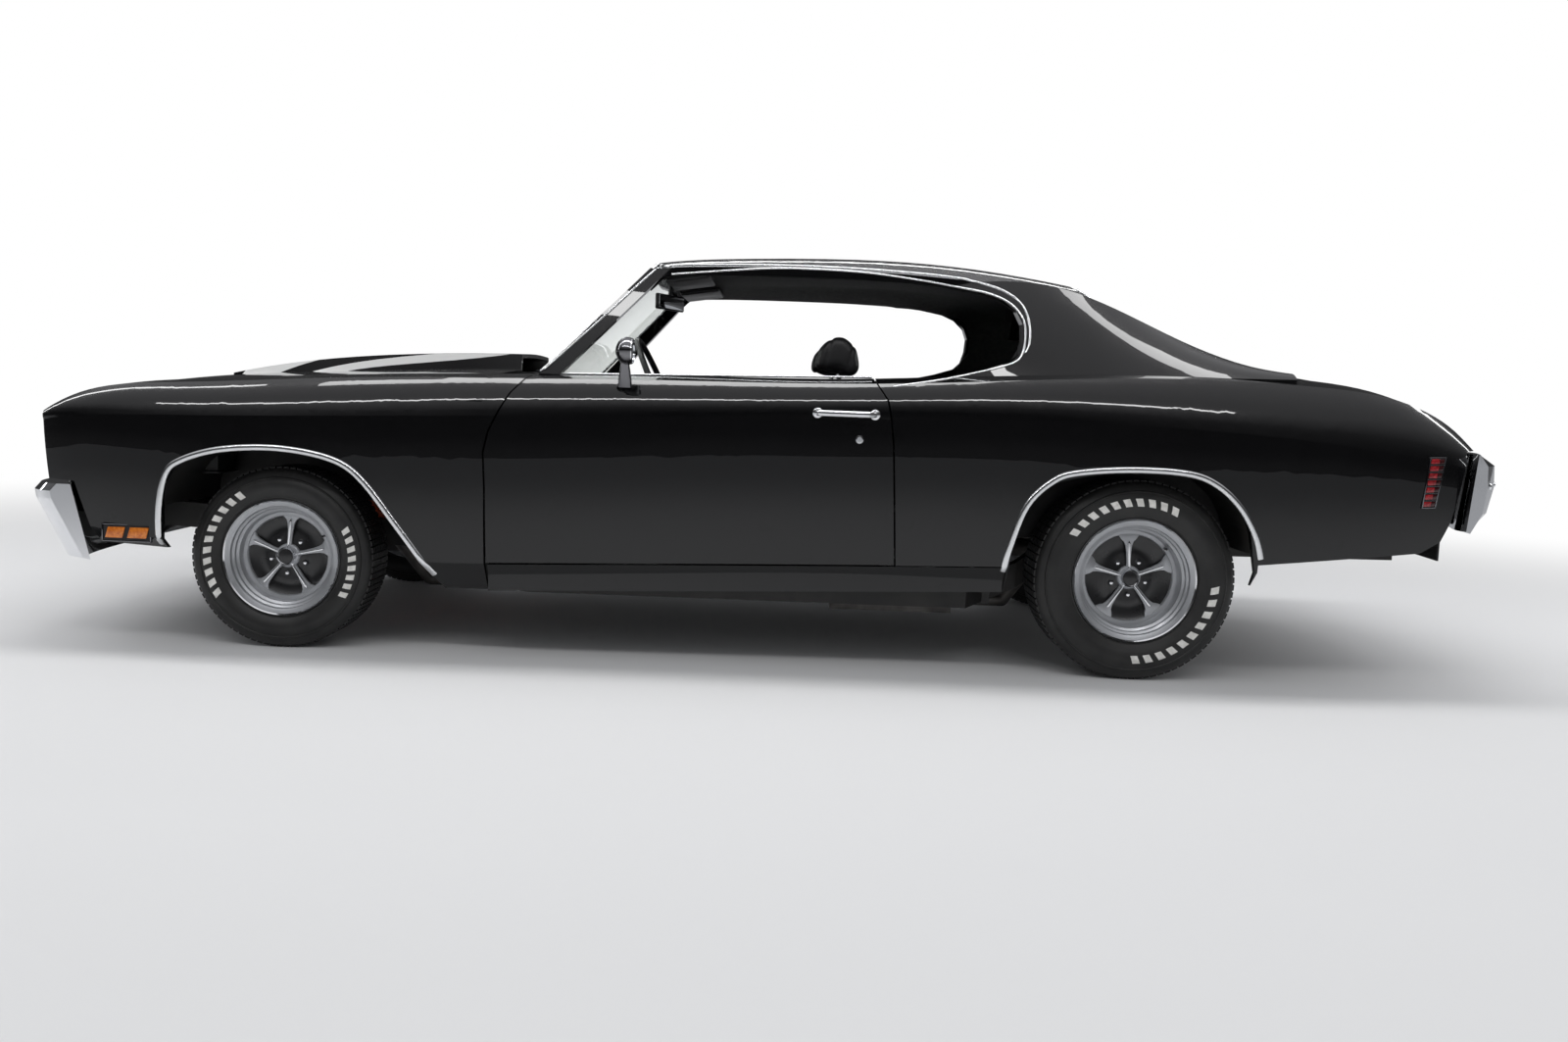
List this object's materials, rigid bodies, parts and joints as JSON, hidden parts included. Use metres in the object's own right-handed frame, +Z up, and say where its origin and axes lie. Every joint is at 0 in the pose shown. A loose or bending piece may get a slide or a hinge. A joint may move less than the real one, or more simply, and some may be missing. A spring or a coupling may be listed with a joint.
{
  "type": "two-door hardtop muscle car",
  "caption": "Two-door hardtop muscle car on a perimeter frame, with opening doors, hood and deck lid, steered front wheels and all wheels free to roll.",
  "frame": {"origin": "on the ground under the middle of the body's length, on the centreline", "axes": "+X forward, +Y to the car's left, +Z up"},
  "size_m": [5.0089, 1.9491, 1.4049],
  "materials": {
    "body_paint": "deep gloss black paint",
    "chrome": "polished chrome plate",
    "glass": "clear glass",
    "black_plastic": "grained black plastic",
    "black_vinyl": "grained black vinyl",
    "chassis_black": "satin black",
    "carpet": "black carpet",
    "cast_iron": "cast grey",
    "pipe_steel": "aluminised steel",
    "wheel_silver": "satin silver paint with bright trim ring",
    "tyre": "black rubber",
    "amber_lens": "amber lens",
    "red_lens": "red lens"
  },
  "bodies": {
    "root": {"amber_markers": "amber_lens", "backlight": "glass", "bucket_seats": "black_vinyl", "console": "black_plastic", "cowl": "body_paint", "dashboard": "black_plastic", "engine": "cast_iron", "exhaust": "pipe_steel", "floor_pan": "carpet", "frame": "chassis_black", "front_arms": "chassis_black", "front_bumper": "chrome", "front_fenders": "body_paint", "fuel_tank": "pipe_steel", "gearbox_and_shaft": "cast_iron", "grille": "black_plastic", "headlamps": "glass", "inside_mirror": "black_plastic", "lamp_bezels": "chrome", "nose_panel": "body_paint", "parcel_shelf": "black_plastic", "quarter_panels": "body_paint", "radiator": "chassis_black", "rear_axle": "chassis_black", "rear_bumper": "chrome", "rear_seat": "black_vinyl", "red_markers": "red_lens", "rockers": "body_paint", "roof": "body_paint", "steering": "black_plastic", "tail_lamps": "red_lens", "tail_panel": "body_paint", "tulip_panel": "body_paint", "valances": "chassis_black", "wheelhouses": "chassis_black", "windshield": "glass"},
    "door_left": {"door_left": "body_paint", "door_fittings_left": "chrome"},
    "door_right": {"door_right": "body_paint", "door_handle_right": "chrome"},
    "hood": {"hood": "body_paint"},
    "decklid": {"decklid": "body_paint"},
    "knuckle_left": {"knuckle_left": "chassis_black"},
    "knuckle_right": {"knuckle_right": "chassis_black"},
    "front_left_wheel": {"wheel_front_left": "wheel_silver", "tyre_front_left": "tyre"},
    "front_right_wheel": {"wheel_front_right": "wheel_silver", "tyre_front_right": "tyre"},
    "rear_left_wheel": {"wheel_rear_left": "wheel_silver", "tyre_rear_left": "tyre"},
    "rear_right_wheel": {"wheel_rear_right": "wheel_silver", "tyre_rear_right": "tyre"}
  },
  "joints": [
    {"name": "door_left_hinge", "type": "hinge", "parent": "root", "child": "door_left", "pos_m": [0.855, 0.93, 0.6], "axis": [0, 0, -1], "range_deg": [0, 62]},
    {"name": "door_right_hinge", "type": "hinge", "parent": "root", "child": "door_right", "pos_m": [0.855, -0.93, 0.6], "axis": [0, 0, 1], "range_deg": [0, 62]},
    {"name": "hood_hinge", "type": "hinge", "parent": "root", "child": "hood", "pos_m": [0.93, 0, 0.905], "axis": [0, -1, 0], "range_deg": [0, 45]},
    {"name": "decklid_hinge", "type": "hinge", "parent": "root", "child": "decklid", "pos_m": [-1.35, 0, 1.03], "axis": [0, 1, 0], "range_deg": [0, 50]},
    {"name": "steer_left", "type": "hinge", "parent": "root", "child": "knuckle_left", "pos_m": [1.6005, 0.664, 0.304], "axis": [0, -0.1392, 0.9903], "range_deg": [-33, 33]},
    {"name": "steer_right", "type": "hinge", "parent": "root", "child": "knuckle_right", "pos_m": [1.6005, -0.664, 0.304], "axis": [0, 0.1392, 0.9903], "range_deg": [-33, 33]},
    {"name": "front_left_spin", "type": "hinge", "parent": "knuckle_left", "child": "front_left_wheel", "pos_m": [1.6005, 0.762, 0.304], "axis": [0, 1, 0], "continuous": true},
    {"name": "front_right_spin", "type": "hinge", "parent": "knuckle_right", "child": "front_right_wheel", "pos_m": [1.6005, -0.762, 0.304], "axis": [0, 1, 0], "continuous": true},
    {"name": "rear_left_spin", "type": "hinge", "parent": "root", "child": "rear_left_wheel", "pos_m": [-1.2445, 0.7595, 0.336], "axis": [0, 1, 0], "continuous": true},
    {"name": "rear_right_spin", "type": "hinge", "parent": "root", "child": "rear_right_wheel", "pos_m": [-1.2445, -0.7595, 0.336], "axis": [0, 1, 0], "continuous": true}
  ],
  "couplings": [
    {"joint": "steer_right", "follows": "steer_left", "ratio": 1}
  ]
}
